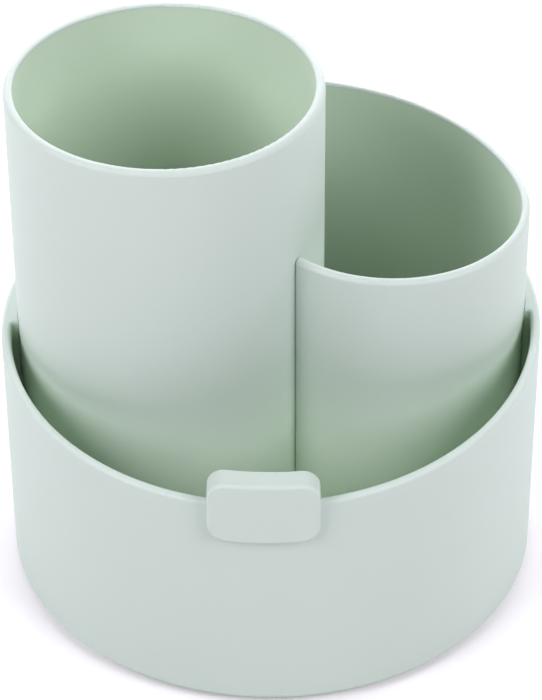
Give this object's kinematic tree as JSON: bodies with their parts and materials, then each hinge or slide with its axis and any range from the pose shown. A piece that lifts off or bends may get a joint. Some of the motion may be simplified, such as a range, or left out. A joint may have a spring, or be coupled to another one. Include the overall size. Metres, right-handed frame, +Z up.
{
  "type": "rotating pen holder",
  "caption": "Low round drum with a sloping rim and thumb tab holds a tall round cup and a lower side cup, and spins on a hidden ball-bearing foot.",
  "frame": {"origin": "on the spin axis, in the face under the pad that rests on the desk", "axes": "+Z up along the spin axis, -Y towards the thumb tab, +X to the right"},
  "size_m": [0.13, 0.132, 0.1302],
  "materials": {
    "body_plastic": "satin moulded, pale sage green",
    "foot_plastic": "fine moulded grain, sage green",
    "cage_plastic": "natural white, smooth",
    "race_steel": "pressed and zinc plated",
    "ball_steel": "polished",
    "screw_steel": "zinc plated",
    "insert_brass": "turned",
    "pad_rubber": "matte foam rubber"
  },
  "bodies": {
    "foot": {"foot_plate": "foot_plastic", "non_slip_pad": "pad_rubber", "lower_race": "race_steel", "pivot_sleeve": "cage_plastic"},
    "rotor": {"outer_cup": "body_plastic", "tall_cup": "body_plastic", "side_cup": "body_plastic", "rim_tab": "body_plastic", "turntable_plate": "foot_plastic", "upper_race": "race_steel", "threaded_insert": "insert_brass", "pivot_bolt": "screw_steel", "pivot_washer": "screw_steel", "plate_screws": "screw_steel", "cup_screws": "screw_steel"},
    "cage": {"ball_cage": "cage_plastic", "bearing_balls": "ball_steel"}
  },
  "joints": [
    {"name": "rotor_spin", "type": "hinge", "parent": "foot", "child": "rotor", "pos_m": [0, 0, 0.0055], "axis": [0, 0, 1], "continuous": true},
    {"name": "cage_spin", "type": "hinge", "parent": "foot", "child": "cage", "pos_m": [0, 0, 0.0055], "axis": [0, 0, 1], "continuous": true}
  ],
  "couplings": [
    {"joint": "cage_spin", "follows": "rotor_spin", "ratio": 0.5}
  ]
}
